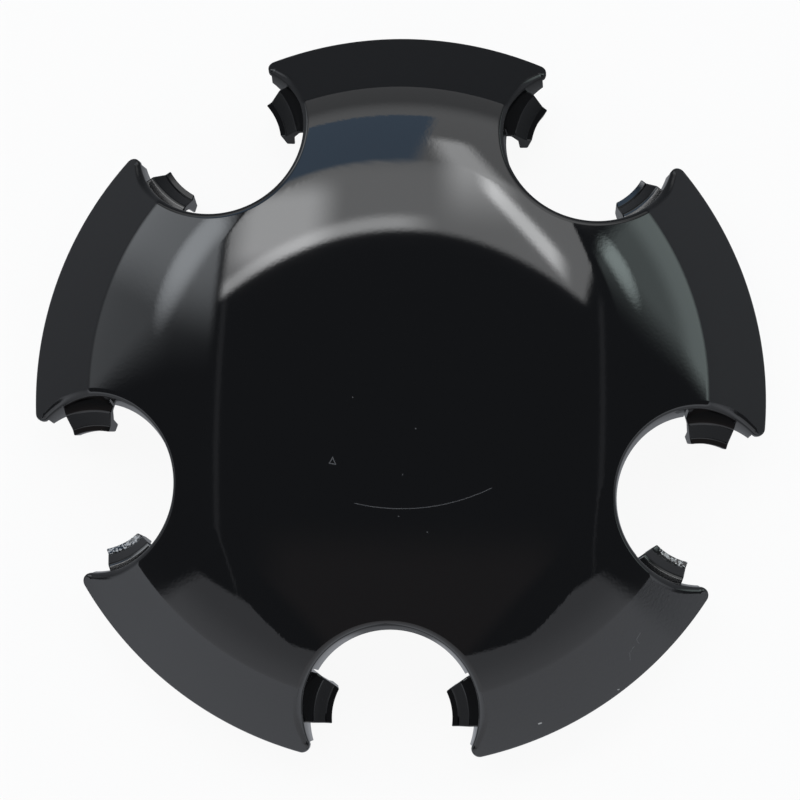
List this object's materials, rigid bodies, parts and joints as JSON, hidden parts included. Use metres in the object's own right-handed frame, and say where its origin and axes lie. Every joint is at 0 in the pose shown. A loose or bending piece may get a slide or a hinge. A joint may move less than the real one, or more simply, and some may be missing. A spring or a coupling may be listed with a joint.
{
  "type": "wheel centre cap",
  "caption": "Domed star-shaped push-on wheel centre cap with round lug cut-outs between its arms and spring clips beside each cut-out.",
  "frame": {"origin": "on the wheel axis, in the plane of the seat ring under the arm ends", "axes": "+Z along the wheel axis, out of the wheel; +Y towards the middle of the arm at the top of the picture"},
  "size_m": [0.172, 0.1694, 0.0406],
  "materials": {
    "cap": "gloss black, lightly worn"
  },
  "bodies": {
    "root": {"center_cap": "cap"}
  },
  "joints": []
}
